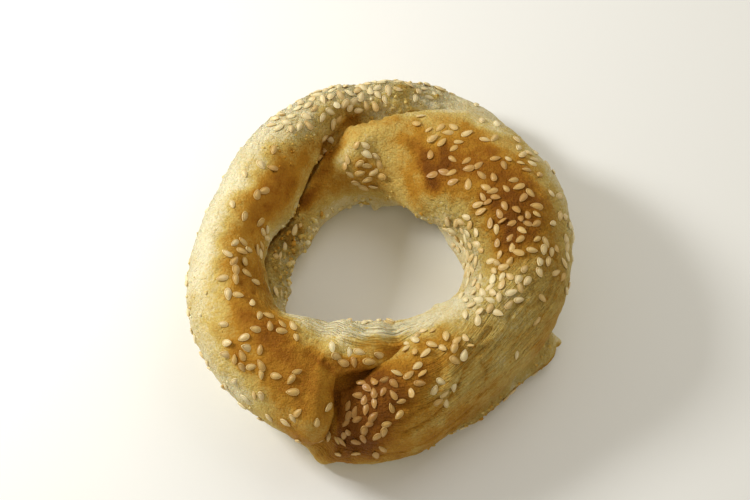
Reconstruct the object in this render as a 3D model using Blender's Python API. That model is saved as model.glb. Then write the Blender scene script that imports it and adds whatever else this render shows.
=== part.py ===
"""A seeded ring bread: two strands of dough twisted once round each other and closed into a ring.

The dough surface is worked out as one point for each ring angle (0 at the right, 90 at the
back, counter-clockwise from above) and each section angle (0 outward, 90 up, 180 towards the
hole).  In every section the two strands are two overlapping rounds, whose direction from each
other turns once round the ring, so that their two seams run as a twist.  Seeds are fused on.
"""
import math
import random

import bpy
import numpy as np
from mathutils import Matrix, Vector
from mathutils.bvhtree import BVHTree

MM = 0.001                       # the tables below are in millimetres and degrees

# ---- driving dimensions: (ring angle, value) stations, smoothed between ----
OUTER_EDGE = ((0, 53.5), (20, 56), (40, 57), (60, 64), (78, 61), (105, 55.5), (140, 51), (160, 48), (180, 51),
              (200, 56), (220, 58), (240, 57), (264, 59.5), (280, 57), (300, 51), (320, 50.5), (340, 53.5))
INNER_EDGE = ((0, 25), (20, 20.5), (50, 16), (80, 22), (105, 25.5), (150, 23), (180, 26.5), (200, 28),
              (220, 32.5), (240, 26.5), (260, 22.5), (280, 20), (300, 22), (320, 22), (340, 24))
CREST_HEIGHT = ((0, 36), (30, 34), (60, 30), (90, 28), (130, 31), (170, 36), (210, 36), (240, 32), (265, 28),
                (300, 29), (335, 34))
EDGE_ROUND = 6.0                 # smoothing of the outline, degrees
SUNK = 3.0                       # how much of each section the table flattens away
RING_CENTRE = (-0.2, -0.5)       # the ring's polar centre, from the middle of its box

# direction from strand R to strand P in the section; it gains a full turn round the ring
TWIST = ((0, -90), (25, -84), (45, -75), (52, -67), (60, -54), (68, -42), (75, -26), (82, -8), (90, 9),
         (107, 26), (124, 46), (136, 58), (150, 67), (161, 64), (172, 57), (188, 50), (200, 53), (212, 63),
         (226, 76), (248, 84), (251, 88), (255, 160), (264, 163), (276, 178), (300, 180), (316, 191),
         (326, 206), (336, 230), (348, 256))
TWIST_ROUND = 1.6
# the two strands' radii and half spacing, as shares of the section before it is sized
STRAND_P = ((0, 0.62), (60, 0.58), (90, 0.56), (130, 0.62), (180, 0.64), (230, 0.64), (270, 0.50), (320, 0.48),
            (345, 0.58))
STRAND_R = ((0, 0.62), (90, 0.64), (150, 0.56), (200, 0.54), (230, 0.54), (266, 0.64), (320, 0.66))
SPACING = ((0, 0.30), (60, 0.40), (100, 0.44), (150, 0.42), (200, 0.34), (220, 0.26), (244, 0.18), (254, 0.22),
           (268, 0.38), (280, 0.42), (300, 0.38), (330, 0.32))
SEAM_ROUND = 0.03
# the step where strand P ends its crossing and strand R comes out from under it
STEP_AT = 253.5
STEP_LEAN = 5.0                  # the step leans by this much over its height
STEP_FADE = 0.7                  # and is spread out on the hole side
# seam A runs over the back and left, seam B over the front: depth, and the height of one side
# over the other (strand P where positive, strand R where negative)
SEAM_A_DEPTH = ((0, 0), (45, 0.3), (60, 1.0), (80, 1.6), (100, 1.2), (115, 2.2), (140, 3), (175, 3), (200, 2),
                (212, 0))
SEAM_A_LEDGE = ((0, 0), (45, -0.3), (60, -1.2), (80, -0.8), (95, 0), (110, 1), (130, 2), (175, 2), (200, 1.2),
                (212, 0))
SEAM_B_DEPTH = ((246, 0), (253, 1.0), (262, 1.2), (275, 1.4), (290, 0.8), (310, 0.6), (335, 0.3), (350, 0))
SEAM_B_LEDGE = ((246, 0), (252, 1.8), (262, 1.4), (275, 0), (350, 0))
# the flap of dough pressed out flat along the table, at the front right
FLAP_EDGE = ((288, 51.5), (316, 50.5), (325, 51.3), (334, 53.5), (340, 54.5))
FLAP_SPAN = ((284, 0), (298, 1), (339.8, 1), (341.8, 0))
FLAP_THICK = 2.0
FLAP_FADE = 6.5
# single dents and bumps: height, spread, and the line of (ring angle, section angle) they follow
RELIEF = (
    (-3.0, 4.5, ((260, 76), (262, 52), (264, 26))),                           # recess past the step
    (1.8, 5.0, ((278, 66),)),                                                 # knob beside it
    (-0.9, 1.2, ((64, 126), (54, 126), (42, 126), (22, 136), (12, 142))),     # crease on strand R
    (-2.4, 3.6, ((173, 180),)),                                               # pocket under strand P
    (-1.2, 1.0, ((196, 98), (201, 114), (204, 116))),                         # tuck on strand P
)

# ---- seeds: clusters as ring angle span, section angle span and number ----
SEED_LENGTH = 3.2
SEED_WIDTH = 1.9
SEED_HEIGHT = 1.1
SEED_SUNK = 0.30                 # share of the height below the crust
SEED_GAP = 2.1                   # least spacing of two seeds
SEED_GAP_FUSED = 3.5             # and of two that are fused here
SEEDS_FUSED = 102
SEED_DRAW = 11
CLUSTERS = (
    (76, 118, 22, 62, 62),       # dense band over the back
    (115, 142, 35, 85, 24),
    (88, 112, 118, 178, 18),     # inside the back
    (20, 74, 28, 120, 52),       # right-hand crest
    (-10, 30, 40, 108, 70),
    (-32, 28, 104, 168, 56),     # right side, towards the hole
    (295, 319, 42, 96, 20),
    (265, 290, 48, 98, 28),      # knob
    (255, 275, 6, 60, 22),       # recess
    (249, 263, 88, 108, 9),      # strand P above the recess
    (140, 202, 48, 122, 24),     # left-hand crest
    (186, 201, 58, 112, 13),
    (166, 196, 112, 132, 9),
    (204, 250, 10, 120, 46),     # lower left
    (172, 216, -35, 35, 26),     # outer left
    (150, 206, 148, 205, 26),    # inner left
    (245, 276, 148, 168, 7),     # hole's front rim
    (296, 338, 2, 30, 8),        # above the flap
    (60, 170, -30, 20, 26),      # outer back
    (-20, 60, -30, 25, 18),      # outer right
)

# ---- mesh ----
RING_STEPS = 104
SECTION_STEPS = 34
DENSE_AT = ((253.5, 6.0, 2.8), (340.8, 2.5, 2.0), (58.0, 9.0, 0.4))   # ring angle, spread, gain
SEAM_GAIN = 1.5
SEAM_SPREAD = 0.14
EVEN_SPREAD = 12.0
TABLE_STEPS = 720
CRUST_COLOUR = (0.60, 0.40, 0.17, 1.0)
CRUST_ROUGHNESS = 0.6


def rounded(values, width):
    """Smooth a periodic table with a Gaussian of the given width in degrees."""
    count = len(values)
    steps = np.arange(-count // 2, count // 2)
    kernel = np.exp(-0.5 * (steps * 360.0 / count / width) ** 2)
    kernel = np.fft.fft(np.fft.ifftshift(kernel / kernel.sum()))
    return np.real(np.fft.ifft(np.fft.fft(values) * kernel))


def around(stations, width, climb=0.0):
    """Table of a value over the ring; climb is what it gains in one full turn."""
    angle = np.array([station[0] for station in stations], float)
    value = np.array([station[1] for station in stations], float) - climb * angle / 360.0
    grid = np.arange(TABLE_STEPS) * 360.0 / TABLE_STEPS
    return rounded(np.interp(grid, angle, value, period=360.0), width)


def look(table, phi, climb=0.0):
    """Value of a table at any ring angle."""
    place = np.mod(phi, 360.0) * TABLE_STEPS / 360.0
    index = np.floor(place).astype(int)
    part = place - index
    low = table[index % TABLE_STEPS]
    high = table[(index + 1) % TABLE_STEPS]
    return low + (high - low) * part + climb * phi / 360.0


def smooth_step(value):
    """0 below 0, 1 above 1, and a smooth rise between."""
    value = np.clip(value, 0.0, 1.0)
    return value * value * (3.0 - 2.0 * value)


class Dough:
    """The dough's surface, in millimetres, over ring angle and section angle in degrees."""

    def __init__(self):
        self.outer = around(OUTER_EDGE, EDGE_ROUND)
        self.inner = around(INNER_EDGE, EDGE_ROUND)
        self.crest = around(CREST_HEIGHT, 9.0)
        self.twist = around(TWIST, TWIST_ROUND, 360.0)
        self.spacing = around(SPACING, 9.0)
        self.strand_p = around(STRAND_P, 8.0)
        self.strand_r = around(STRAND_R, 8.0)
        self.seam_depth = (around(SEAM_A_DEPTH, 4.0), around(SEAM_B_DEPTH, 1.5))
        self.seam_ledge = (around(SEAM_A_LEDGE, 4.0), around(SEAM_B_LEDGE, 1.5))
        self.flap_edge = around(FLAP_EDGE, 1.0)
        self.flap_span = around(FLAP_SPAN, 0.5)
        phi = np.arange(TABLE_STEPS) * 360.0 / TABLE_STEPS
        self.extent = self.section_extents(phi)
        self.low_edge = np.full(TABLE_STEPS, 1000.0)
        self.low_edge = self.find_low_edge(phi)
        self.relief = [(height, spread, self.trace(knots)) for height, spread, knots in RELIEF]

    def twist_angle(self, phi, theta):
        """Direction from strand R to strand P; the step leans, and is spread on the hole side."""
        offset = phi - STEP_AT
        near = np.exp(-(offset / 20.0) ** 2)
        turned = np.mod(theta + 90.0, 360.0) - 90.0
        lean = STEP_LEAN * np.clip((turned - 40.0) / 40.0, -1.0, 1.0)
        hole_side = np.clip((turned - 85.0) / 30.0, 0.0, 1.0)
        moved = near * (lean * (1.0 - hole_side) - STEP_FADE * hole_side * offset)
        return look(self.twist, phi + moved, 360.0)

    def section(self, phi, theta):
        """Distance from the section's hub to its skin, and how far strand P stands over R."""
        angle = np.radians(theta - self.twist_angle(phi, theta))
        spacing = look(self.spacing, phi)
        across = (spacing * np.sin(angle)) ** 2
        along = spacing * np.cos(angle)
        strand_p = along + np.sqrt(np.maximum(look(self.strand_p, phi) ** 2 - across, 1e-6))
        strand_r = -along + np.sqrt(np.maximum(look(self.strand_r, phi) ** 2 - across, 1e-6))
        over = strand_p - strand_r
        return 0.5 * (strand_p + strand_r + np.sqrt(over ** 2 + SEAM_ROUND ** 2)), over

    def section_extents(self, phi):
        """How far each section reaches in, out, down and up, before it is sized."""
        ring, turn = np.meshgrid(phi, np.arange(0.0, 360.0, 3.0), indexing="ij")
        skin, _ = self.section(ring, turn)
        out = skin * np.cos(np.radians(turn))
        up = skin * np.sin(np.radians(turn))

        def reach(values):
            return 0.02 * np.log(np.mean(np.exp(values / 0.02), axis=1)) + 0.045
        ends = (-reach(-out), reach(out), -reach(-up), reach(up))
        return [rounded(end, 1.5) for end in ends]

    def form(self, phi, theta):
        """Point on the dough without its seam depth and single dents."""
        skin, over = self.section(phi, theta)
        in_end, out_end, low_end, high_end = (look(end, phi) for end in self.extent)
        outer = look(self.outer, phi)
        inner = look(self.inner, phi)
        across = (skin * np.cos(np.radians(theta)) - in_end) / (out_end - in_end)
        upward = (skin * np.sin(np.radians(theta)) - low_end) / (high_end - low_end)
        radius = inner + across * (outer - inner)
        height = -SUNK + upward * (look(self.crest, phi) + SUNK)
        # the flap: the foot is drawn out to its own edge, and fades into the wall above
        low_edge = look(self.low_edge, phi)
        reach = look(self.flap_span, phi) * np.maximum(look(self.flap_edge, phi) - low_edge, 0.0)
        middle = 0.5 * (outer + inner)
        share = np.clip((radius - middle) / np.maximum(low_edge - middle, 1.0), 0.0, 1.0)
        radius = radius + reach * share * smooth_step((FLAP_THICK + FLAP_FADE - height) / FLAP_FADE)
        height = np.maximum(height, 0.0)
        angle = np.radians(phi)
        return np.stack([radius * np.cos(angle), radius * np.sin(angle), height], -1), over

    def find_low_edge(self, phi):
        """Radius of the outer wall just above the table, before the flap is added."""
        ring, turn = np.meshgrid(phi, np.arange(-90.0, 21.0, 1.0), indexing="ij")
        point, _ = self.form(ring, turn)
        radius = np.hypot(point[..., 0], point[..., 1])
        return rounded(np.where(point[..., 2] <= FLAP_THICK, radius, 0.0).max(1), 3.0)

    def trace(self, knots):
        """Close points along a line given by ring and section angles."""
        knots = np.array(knots, float)
        share = np.linspace(0.0, len(knots) - 1.0, 24 * (len(knots) - 1) + 1)
        ring = np.interp(share, np.arange(len(knots)), knots[:, 0])
        turn = np.interp(share, np.arange(len(knots)), knots[:, 1])
        return self.form(ring, turn)[0]

    def outward(self, phi, theta, step=0.6):
        """Unit normal of the form."""
        along = self.form(phi + step, theta)[0] - self.form(phi - step, theta)[0]
        across = self.form(phi, theta + step)[0] - self.form(phi, theta - step)[0]
        normal = np.cross(along, across)
        return normal / (np.linalg.norm(normal, axis=-1, keepdims=True) + 1e-9)

    def skin(self, phi, theta):
        """Finished point on the crust."""
        point, over = self.form(phi, theta)
        turned = np.mod(theta - self.twist_angle(phi, theta), 360.0)
        seam = np.where(turned < 180.0, 0, 1)
        depth = np.where(seam == 0, look(self.seam_depth[0], phi), look(self.seam_depth[1], phi))
        ledge = np.where(seam == 0, look(self.seam_ledge[0], phi), look(self.seam_ledge[1], phi))
        push = -depth * np.exp(-(over / 0.09) ** 2)
        proud = np.maximum(np.sign(ledge) * over, 0.0)
        push = push + np.abs(ledge) * (1.0 - np.exp(-(proud / 0.05) ** 2)) * np.exp(-proud / 0.35)
        for height, spread, line in self.relief:
            away = np.linalg.norm(point[..., None, :] - line, axis=-1).min(-1)
            push = push + height * np.exp(-0.5 * (away / spread) ** 2)
        point = point + self.outward(phi, theta) * push[..., None]
        point[..., 2] = np.maximum(point[..., 2], 0.0)
        return point


def scatter(dough):
    """Seeds as (point, normal, heading, size), drawn cluster by cluster with a least spacing."""
    draw = random.Random(SEED_DRAW)
    found = []
    points = np.zeros((0, 3))
    for ring_from, ring_to, turn_from, turn_to, number in CLUSTERS:
        for _ in range(number):
            for _ in range(12):
                phi = np.array(draw.uniform(ring_from, ring_to))
                theta = np.array(draw.uniform(turn_from, turn_to))
                heading = draw.uniform(0.0, math.pi)
                size = draw.uniform(0.86, 1.12)
                point = dough.skin(phi, theta)
                if point[2] < 1.5:
                    continue
                if len(points) and np.linalg.norm(points - point, axis=1).min() < SEED_GAP:
                    continue
                points = np.vstack([points, point])
                found.append((point, dough.outward(phi, theta), heading, size))
                break
    return found


def spread_out(seeds, gap, limit):
    """The largest seeds first, each at least a gap from those already taken."""
    taken = []
    for seed in sorted(seeds, key=lambda item: -item[3]):
        if all(np.linalg.norm(seed[0] - other[0]) >= gap for other in taken):
            taken.append(seed)
        if len(taken) == limit:
            break
    return taken


def crust_material():
    material = bpy.data.materials.new("baked_crust")
    material.use_nodes = True
    shader = material.node_tree.nodes["Principled BSDF"]
    shader.inputs["Base Color"].default_value = CRUST_COLOUR
    shader.inputs["Roughness"].default_value = CRUST_ROUGHNESS
    shader.inputs["Metallic"].default_value = 0.0
    return material


def shared_out(places, weights, count):
    """Places that divide the weights into equal shares, starting at the first place."""
    total = np.concatenate([[0.0], np.cumsum(0.5 * (weights[1:] + weights[:-1]))])
    return np.interp(np.arange(count) * total[-1] / count, total, places)


def ring_angles():
    """Ring angles of the mesh, closer together at the places in DENSE_AT."""
    phi = np.arange(0.0, 360.01, 0.25)
    weights = np.ones(len(phi))
    for place, spread, gain in DENSE_AT:
        weights += gain * np.exp(-((phi - place) / spread) ** 2)
    return shared_out(phi, weights, RING_STEPS)


def section_angles(dough, phi):
    """Section angles at one ring angle, closer together along the two seams but even at the step."""
    theta = np.arange(-90.0, 270.01, 1.0)
    _, over = dough.section(np.full(len(theta), phi), theta)
    gain = SEAM_GAIN * (1.0 - np.exp(-((phi - STEP_AT) / EVEN_SPREAD) ** 4))
    weights = 1.0 + gain * np.exp(-(over / SEAM_SPREAD) ** 2)
    return shared_out(theta, weights, SECTION_STEPS)


def ring_mesh(dough):
    """Closed mesh of the dough, without seeds."""
    phi = ring_angles()
    turn = np.array([section_angles(dough, angle) for angle in phi])
    ring = np.repeat(phi[:, None], SECTION_STEPS, axis=1)
    points = dough.skin(ring, turn).reshape(-1, 3) + np.array([*RING_CENTRE, 0.0])
    faces = []
    for i in range(RING_STEPS):
        for j in range(SECTION_STEPS):
            next_i = (i + 1) % RING_STEPS
            next_j = (j + 1) % SECTION_STEPS
            a = i * SECTION_STEPS + j
            b = next_i * SECTION_STEPS + j
            c = next_i * SECTION_STEPS + next_j
            d = i * SECTION_STEPS + next_j
            faces.append((a, b, c))
            faces.append((a, c, d))
    mesh = bpy.data.meshes.new("ring")
    mesh.from_pydata((points * MM).tolist(), [], faces)
    mesh.update()
    return mesh


def seed_mesh():
    """One seed lying along X: a flattened drop with few sides, blunt at one end."""
    stations = ((-0.22, 1.0), (0.24, 0.88))
    sides = 6
    points = [(-0.5 * SEED_LENGTH, 0.0, 0.0)]
    for place, share in stations:
        for side in range(sides):
            angle = 2.0 * math.pi * side / sides
            points.append((place * SEED_LENGTH, 0.5 * SEED_WIDTH * share * math.cos(angle),
                           0.5 * SEED_HEIGHT * share * math.sin(angle)))
    points.append((0.5 * SEED_LENGTH, 0.0, 0.0))
    faces = []
    for side in range(sides):
        other = (side + 1) % sides
        faces.append((0, 1 + other, 1 + side))
        for row in range(len(stations) - 1):
            near = 1 + row * sides
            far = near + sides
            faces.append((near + side, near + other, far + other, far + side))
        last = 1 + (len(stations) - 1) * sides
        faces.append((last + side, last + other, len(points) - 1))
    mesh = bpy.data.meshes.new("seed")
    mesh.from_pydata([[MM * value for value in point] for point in points], [], faces)
    mesh.update()
    return mesh


def place_seed(seed, mesh, tree, collection):
    """Lay one seed flat on the crust, partly sunk in."""
    point, normal, heading, size = seed
    place = Vector(((point + np.array([*RING_CENTRE, 0.0])) * MM).tolist())
    nearest, face_normal, _, _ = tree.find_nearest(place)
    up = (face_normal + Vector(normal.tolist())).normalized()
    side = up.orthogonal().normalized()
    along = Matrix.Rotation(heading, 3, up) @ side
    turned = Matrix((along, up.cross(along), up)).transposed().to_4x4()
    lift = (0.5 - SEED_SUNK) * SEED_HEIGHT * size * MM
    copy = bpy.data.objects.new("seed", mesh)
    copy.matrix_world = Matrix.Translation(nearest + up * lift) @ turned @ Matrix.Scale(size, 4)
    collection.objects.link(copy)


def fuse(body, collection):
    """Join every object of the collection to the body, and remove them."""
    union = body.modifiers.new("seeds", "BOOLEAN")
    union.operation = "UNION"
    union.operand_type = "COLLECTION"
    union.collection = collection
    union.solver = "MANIFOLD"
    bpy.context.view_layer.update()
    joined = bpy.data.meshes.new_from_object(body.evaluated_get(bpy.context.evaluated_depsgraph_get()))
    body.modifiers.clear()
    body.data = joined
    for piece in list(collection.objects):
        bpy.data.objects.remove(piece)
    bpy.data.collections.remove(collection)


def build():
    for old in list(bpy.data.objects):
        bpy.data.objects.remove(old)
    dough = Dough()
    mesh = ring_mesh(dough)
    body = bpy.data.objects.new("seeded_ring", mesh)
    bpy.context.scene.collection.objects.link(body)
    corners = [vertex.co for vertex in mesh.vertices]
    tree = BVHTree.FromPolygons(corners, [tuple(face.vertices) for face in mesh.polygons])
    grains = bpy.data.collections.new("grains")
    bpy.context.scene.collection.children.link(grains)
    grain = seed_mesh()
    for seed in spread_out(scatter(dough), SEED_GAP_FUSED, SEEDS_FUSED):
        place_seed(seed, grain, tree, grains)
    fuse(body, grains)
    body.data.materials.clear()
    body.data.materials.append(crust_material())
    body.data.shade_smooth()
    body.data.set_sharp_from_angle(angle=math.radians(50))


build()
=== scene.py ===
"""Looks of a seeded ring bread: two strands of dough twisted once round each other.

The crust is the frame's own surface, worked out as one point for each ring angle (0 at the right,
90 at the back) and section angle (0 outward, 90 up, 180 towards the hole), with wrinkles, creases
and torn dough added.  The seeds are one mesh and the crumbs another, both scattered over the crust.
"""
import math
import random

import bpy
import numpy as np
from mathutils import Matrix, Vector


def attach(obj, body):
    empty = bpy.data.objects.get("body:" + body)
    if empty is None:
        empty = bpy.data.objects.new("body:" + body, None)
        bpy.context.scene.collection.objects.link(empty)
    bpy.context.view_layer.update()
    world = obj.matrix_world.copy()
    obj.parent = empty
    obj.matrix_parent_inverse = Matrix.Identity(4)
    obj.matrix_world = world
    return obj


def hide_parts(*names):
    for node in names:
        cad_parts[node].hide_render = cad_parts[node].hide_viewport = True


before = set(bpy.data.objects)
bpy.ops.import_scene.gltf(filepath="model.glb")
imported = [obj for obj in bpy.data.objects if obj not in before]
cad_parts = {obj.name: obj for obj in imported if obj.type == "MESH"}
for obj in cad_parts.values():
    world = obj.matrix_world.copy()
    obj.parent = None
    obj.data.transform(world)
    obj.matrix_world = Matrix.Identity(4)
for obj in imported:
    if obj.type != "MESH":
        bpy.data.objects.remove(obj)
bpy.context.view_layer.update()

MM = 0.001  # the tables below are in millimetres and degrees
NODE = "seeded_ring"
BODY = "root"

# ---- the form, as in the frame: (ring angle, value) stations, smoothed between ----
OUTER_EDGE = ((0, 53.5), (20, 56), (40, 57), (60, 64), (78, 61), (105, 55.5), (140, 51), (160, 48),
              (180, 51), (200, 56), (220, 58), (240, 57), (264, 59.5), (280, 57), (300, 51), (320, 50.5),
              (340, 53.5))
INNER_EDGE = ((0, 25), (20, 20.5), (50, 16), (80, 22), (105, 25.5), (150, 23), (180, 26.5), (200, 28),
              (220, 32.5), (240, 26.5), (260, 22.5), (280, 20), (300, 22), (320, 22), (340, 24))
CREST_HEIGHT = ((0, 36), (30, 34), (60, 30), (90, 28), (130, 31), (170, 36), (210, 36), (240, 32),
                (265, 28), (300, 29), (335, 34))
SUNK = 3.0  # the sections reach this far below the floor, and are cut flat there
RING_CENTRE = (-0.2, -0.5)
# direction from strand R to strand P in each section; it gains one full turn over the ring
TWIST = ((0, -90), (25, -84), (45, -75), (52, -67), (60, -54), (68, -40), (75, -22), (81, -8), (88, -3),
         (98, -2), (104, 6), (111, 21), (124, 42), (136, 55), (150, 65), (161, 64), (172, 57), (188, 50),
         (200, 53), (212, 62), (226, 71), (248, 77), (251, 82), (255, 160), (264, 163), (276, 178),
         (300, 180), (316, 191), (326, 206), (336, 230), (348, 256))
# the strands' radii and half their spacing, as shares of the section
STRAND_P = ((0, 0.62), (60, 0.58), (90, 0.56), (130, 0.62), (180, 0.64), (230, 0.64), (270, 0.50),
            (320, 0.48), (345, 0.58))
STRAND_R = ((0, 0.62), (90, 0.64), (150, 0.56), (200, 0.54), (230, 0.54), (266, 0.64), (320, 0.66))
SPACING = ((0, 0.28), (60, 0.40), (100, 0.44), (150, 0.42), (200, 0.34), (220, 0.26), (244, 0.18),
           (254, 0.22), (266, 0.36), (276, 0.36), (290, 0.24), (310, 0.20), (335, 0.24))
SEAM_ROUND = 0.03
EXTENT_ROUND = 0.02  # softness of a section's farthest reach, and a margin past it
EXTENT_MARGIN = 0.045
# widths in degrees over which the tables are smoothed
EDGE_ROUND = 6.0
CREST_ROUND = 9.0
TWIST_ROUND = 1.6
STRAND_ROUND = 8.0
SEAM_ROUNDS = (4.0, 1.5)  # seam A, past strand P by growing section angle, and seam B, before it
CUT_ROUNDS = (3.0, 1.5)
LIP_ROUND = 3.0
FLAP_ROUND = 1.0
FLAP_END_ROUND = 0.5
REACH_ROUND = 1.5
FOOT_ROUND = 3.0
# the step, where strand P ends its crossing over strand R
STEP_AT = 253.5
STEP_LINE = ((-60, 252), (-35, 254), (-12, 257), (12, 257), (42, 256), (60, 254), (78, 251.5), (90, 249.5),
             (110, 248.5))        # (section angle, ring angle)
STEP_FADE = 0.7  # how far the step is spread on the hole side, from this section angle
SPREAD_FROM = 85.0
SPREAD_RISE = 30.0
STEP_REACH = 20.0  # degrees from the step at which its lean has faded
STEP_SOFT = 1.2
# along seams A and B: the soft depth, the ledge of strand P over the seam (below 0: of strand R), the
# sharp cut, what fills seam B up, and how far strand P's edge hangs over seam A
SEAM_A_DEPTH = ((0, 0), (45, 0.3), (60, 1.0), (80, 1.2), (100, 0.5), (114, 0.8), (126, 1.8), (140, 2.8),
                (175, 3), (200, 2), (212, 0))
SEAM_A_LEDGE = ((0, 0), (45, -0.3), (60, -1.2), (80, -0.8), (95, 0), (110, 1), (130, 2), (175, 2),
                (200, 1.2), (212, 0))
SEAM_B_DEPTH = ((246, 0), (253, 0.8), (262, 0.6), (272, 0.2), (282, 0), (292, 0))
SEAM_B_LEDGE = ((246, 0), (252, 1.8), (262, 1.4), (275, 0), (350, 0))
SEAM_A_CUT = ((0, 0), (70, 0), (80, 0.5), (95, 0.5), (112, 0.4), (124, 0.9), (134, 1.6), (150, 1.8),
              (195, 1.5), (205, 0.8), (214, 0))
SEAM_B_CUT = ((256, 0), (262, 0.9), (270, 1.1), (277, 0.7), (284, 0))
SEAM_B_FILL = ((212, 0), (225, 1.4), (248, 1.4), (254, 0.2), (262, 1.2), (272, 1.9), (284, 2.0),
               (300, 1.7), (325, 1.0), (340, 0.6), (352, 0.3), (365, 0))
LIP = ((0, 0), (70, 0), (85, 0.3), (105, 0.3), (116, 0.8), (128, 1.7), (150, 1.9), (190, 1.9),
       (204, 1.0), (214, 0))
# places and widths across a seam, as how far strand P stands over strand R there
SEAM_WIDTH = 0.09
CUT_AT = -0.02
CUT_WIDTH = 0.03
FILL_WIDTH = 0.30
LEDGE_RISE = 0.05
LEDGE_RUN = 0.35
LIP_AT = 0.04
LIP_WIDTH = 0.05
RECESS_RISE = 0.12
LIP_MEAN = 0.8
LIP_WAVES = ((0.5, 6.0, 11), (0.22, 2.4, 12))  # height, size of the bumps, and seed of the noise
# the foot pressed out at the front right
FLAP_EDGE = ((288, 51.5), (316, 50.5), (325, 51.5), (334, 54.2), (340, 55.6))
FLAP_SPAN = ((284, 0), (298, 1), (339.8, 1), (341.8, 0))
FLAP_THICK = 2.6
FLAP_FADE = 8.0
# how the tables, lines and patches are worked out
TABLE_STEPS = 720
TRACE_STEPS = 24  # points between two knots of a line
WINDOW_STEEP = 1.3
RING_MM = 0.7  # millimetres on the crust for a degree of the ring, about its middle
TURN_MM = 0.29  # and for a degree of the section

# ---- relief: height, spread, and the line of (ring angle, section angle) it follows ----
RELIEF = (
    # knob past the recess
    (1.3, 4.5, ((279, 62),)),
    # no valley beyond it
    (1.0, 3.2, ((288, 104), (300, 108), (314, 112), (328, 116))),
    # pocket under strand P
    (-2.4, 3.6, ((173, 180),)),
    # tuck on strand P
    (-1.2, 1.0, ((196, 98), (201, 114), (204, 116))),
    # foot of the knob
    (-0.7, 1.1, ((294, 70), (291, 52), (287, 44), (282, 40), (275, 42))),
    (0.5, 2.2, ((298, 66), (296, 50), (290, 38), (282, 34))),
    # crease on strand R, and its raised inner side
    (-0.9, 1.1, ((72, 122), (66, 126), (56, 125), (43, 123), (25, 133), (8, 148))),
    (0.8, 2.2, ((62, 131), (52, 131), (40, 130), (26, 140))),
    # ridge of strand R
    (0.7, 2.0, ((60, 58), (68, 64), (80, 84), (86, 110), (94, 130), (100, 138))),
    # pale floor beside seam A, and the hollow above it
    (-0.8, 1.8, ((92, 100), (98, 108), (104, 116), (110, 130))),
    (-1.5, 1.7, ((99, 76), (105, 78), (109, 89), (111, 99), (114, 109))),
    # dark gaps in the torn wall
    (-1.3, 0.8, ((101, 87), (98, 82))),
    (-1.4, 0.8, ((92, 76), (90, 74))),
    (-1.2, 0.7, ((82, 52), (81, 49))),
    # soft fold towards the hole
    (-0.4, 1.2, ((95, 140), (90, 152), (80, 156))),
    # lumps on the hole's left rim, and one on its back rim
    (1.7, 1.4, ((157, 208), (161, 202))),
    (-1.0, 1.1, ((169, 204),)),
    (1.4, 1.2, ((176, 204), (178, 198))),
    (1.2, 1.0, ((191, 205),)),
    (2.4, 1.1, ((92, 198),)),
    # notch in its front right rim, and a lump beside it
    (-2.6, 2.0, ((325, 170), (332, 176), (338, 182))),
    (0.9, 1.1, ((317, 166),)),
    # front left rim
    (1.5, 3.0, ((232, 126), (238, 132), (245, 136))),
)
FOLDS = (
    (-0.70, 0.4, ((310, 52), (305, 50), (301, 48), (296, 38), (290, 28), (286, 24), (277, 21))),
    (0.50, 0.65, ((309, 47), (303, 44), (300, 36), (296, 28), (288, 20), (276, 17))),
    (-0.55, 0.4, ((306, 45), (307, 35), (306, 25))),
    (0.55, 0.6, ((311, 54), (316, 52), (321, 55))),
    (-0.55, 0.4, ((302, 13), (306, 12), (310, 13))),
    (-0.42, 0.4, ((288, 34), (293, 33), (297, 34))),
    (-0.55, 0.4, ((276, 32), (282, 36), (289, 38), (295, 38))),
    (0.45, 0.6, ((276, 35), (282, 39), (290, 42), (298, 42))),
    (-0.45, 0.4, ((296, 47), (302, 54), (308, 58), (316, 61))),
    (0.45, 0.6, ((325, 54), (329, 57), (333, 58))),
    (-0.40, 0.4, ((323, 58), (328, 61), (333, 62))),
    (-0.42, 0.4, ((329, 70), (331, 52), (337, 47), (345, 52))),
    (-0.42, 0.4, ((352, 70), (350, 56), (344, 44), (336, 38), (326, 36))),
    (-0.50, 0.4, ((4, 110), (357, 100), (350, 97), (344, 92))),
    (-0.50, 0.4, ((6, 104), (0, 96), (352, 90))),
    (-0.50, 0.4, ((300, 6), (290, 4), (280, 2), (268, -2))),
    (-0.50, 0.4, ((296, -4), (284, -10), (272, -12))),
    (-0.45, 0.4, ((205, 68), (207, 71))),
    (-0.50, 0.6, ((330, 150), (315, 152), (296, 150), (276, 148))),
    (-0.50, 1.0, ((251, 89), (247, 89), (243, 91))),
)
FOLD_SHADE = 0.22  # painted shade at the bottom of a fold 1 mm deep
RELIEF_BAKE = 0.10  # browning on a wrinkle 1 mm high
RECESS_DEPTH = 3.0
RECESS_REACH = 4.6
# darker on the recess's floor, partly browning and partly painted shade
RECESS_BAKE_AND_SHADE = 0.60
RECESS_PATCH = (262, 44, 12, 46)  # its darker part, browned and in painted shade: middle and reach in ring and section angle
RECESS_LINE = ((258, 84), (260, 62), (261, 38), (260, 12))
# torn wall under the seeds at the back
TORN_LINE = ((100, 82), (93, 78), (86, 70), (79, 52), (72, 26), (69, 14))
TORN_REACH = 2.6
TORN_DEPTH = 0.4
CREVICE_SHADE = 0.35  # painted shade in the seams' crevices, less of it in seam B
CREVICE_B_SHARE = 0.4
CREVICE_SPREAD = 0.10
TERRACE_AT = 70.5  # ring angle where the upper layer at the back ends
TERRACE_PATCH = (TERRACE_AT, 4, 40, 20)
TERRACE_HEIGHT = 0.9
TERRACE_EDGE = 0.7  # degrees
TERRACE_FADE = 14.0

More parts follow.
